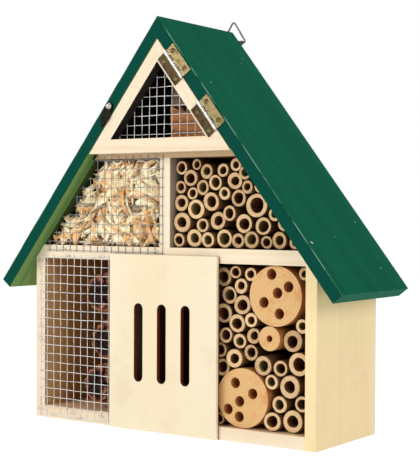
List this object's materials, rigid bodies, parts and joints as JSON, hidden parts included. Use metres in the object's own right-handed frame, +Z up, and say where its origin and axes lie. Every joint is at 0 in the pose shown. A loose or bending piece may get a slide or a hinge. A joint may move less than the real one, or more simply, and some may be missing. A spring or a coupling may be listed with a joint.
{
  "type": "insect hotel",
  "caption": "Wooden insect hotel with a steep green two-board roof, a hinged mesh gable door, a slotted front panel and bays of canes, drilled logs, cones and shavings.",
  "frame": {"origin": "centre of the body's underside, where the walls, floor board and front panel stand", "axes": "+Z up, -Y towards the front with the slotted panel, +X towards the viewer's right from the front"},
  "size_m": [0.2932, 0.1012, 0.2993],
  "materials": {
    "pine": "planed, unvarnished",
    "plywood": "sanded, unvarnished",
    "green_stain": "green wood stain, satin",
    "brass": "plated, bright",
    "aged_brass": "plated, dulled",
    "bright_steel": "zinc plated",
    "galvanised_wire": "galvanised",
    "log_wood": "sawn end grain",
    "cane": "natural cane, satin skin",
    "cone_scales": "dry, matt",
    "shavings": "fresh shavings, matt",
    "bark": "rough bark",
    "weathered_wood": "rough sawn, greyed"
  },
  "bodies": {
    "house": {"right_wall": "pine", "left_wall": "pine", "floor_board": "pine", "middle_shelf": "pine", "upper_shelf": "pine", "upper_divider": "pine", "left_divider": "pine", "right_divider": "pine", "back_panel": "plywood", "right_roof_board": "green_stain", "left_roof_board": "green_stain", "front_panel": "pine", "upper_hinge_roof_leaf": "brass", "upper_hinge_pin": "brass", "lower_hinge_roof_leaf": "brass", "lower_hinge_pin": "brass", "roof_leaf_screws": "brass", "latch_washer": "bright_steel", "latch_screw": "bright_steel", "hanger_strap": "bright_steel", "hanger_screws": "bright_steel", "shavings_mesh": "galvanised_wire", "cone_mesh": "galvanised_wire", "mesh_staples": "galvanised_wire", "back_panel_nails": "galvanised_wire", "lower_log": "log_wood", "upper_log": "log_wood", "drilled_dowel": "log_wood", "lower_canes_1": "cane", "lower_canes_2": "cane", "lower_canes_3": "cane", "lower_canes_4": "cane", "lower_canes_5": "cane", "upper_canes_1": "cane", "upper_canes_2": "cane", "upper_canes_3": "cane", "upper_canes_4": "cane", "upper_canes_5": "cane", "upper_canes_6": "cane", "upper_canes_7": "cane", "pine_cone_1": "cone_scales", "pine_cone_2": "cone_scales", "pine_cone_3": "cone_scales", "pine_cone_4": "cone_scales", "pine_cone_5": "cone_scales", "pine_cone_6": "cone_scales", "wood_shavings": "shavings", "bark_block": "bark", "wood_offcut": "weathered_wood"},
    "gable_door": {"door_left_rail": "pine", "door_right_rail": "pine", "door_base_rail": "pine", "gable_mesh": "galvanised_wire", "gable_mesh_staples": "galvanised_wire", "upper_hinge_door_leaf": "aged_brass", "lower_hinge_door_leaf": "aged_brass", "door_leaf_screws": "aged_brass"},
    "turn_latch": {"latch": "bright_steel"},
    "hanging_ring": {"hanger_ring": "bright_steel"}
  },
  "joints": [
    {"name": "gable_door_hinge", "type": "hinge", "parent": "house", "child": "gable_door", "pos_m": [0.02922, -0.05425, 0.2386], "axis": [-0.6157, 0, 0.788], "range_deg": [0, 170]},
    {"name": "latch_turn", "type": "hinge", "parent": "house", "child": "turn_latch", "pos_m": [-0.04165, -0.0533, 0.23065], "axis": [0, 1, 0], "continuous": true},
    {"name": "ring_hinge", "type": "hinge", "parent": "house", "child": "hanging_ring", "pos_m": [0, 0.0433, 0.28327], "axis": [1, 0, 0], "range_deg": [-170, 45]}
  ]
}
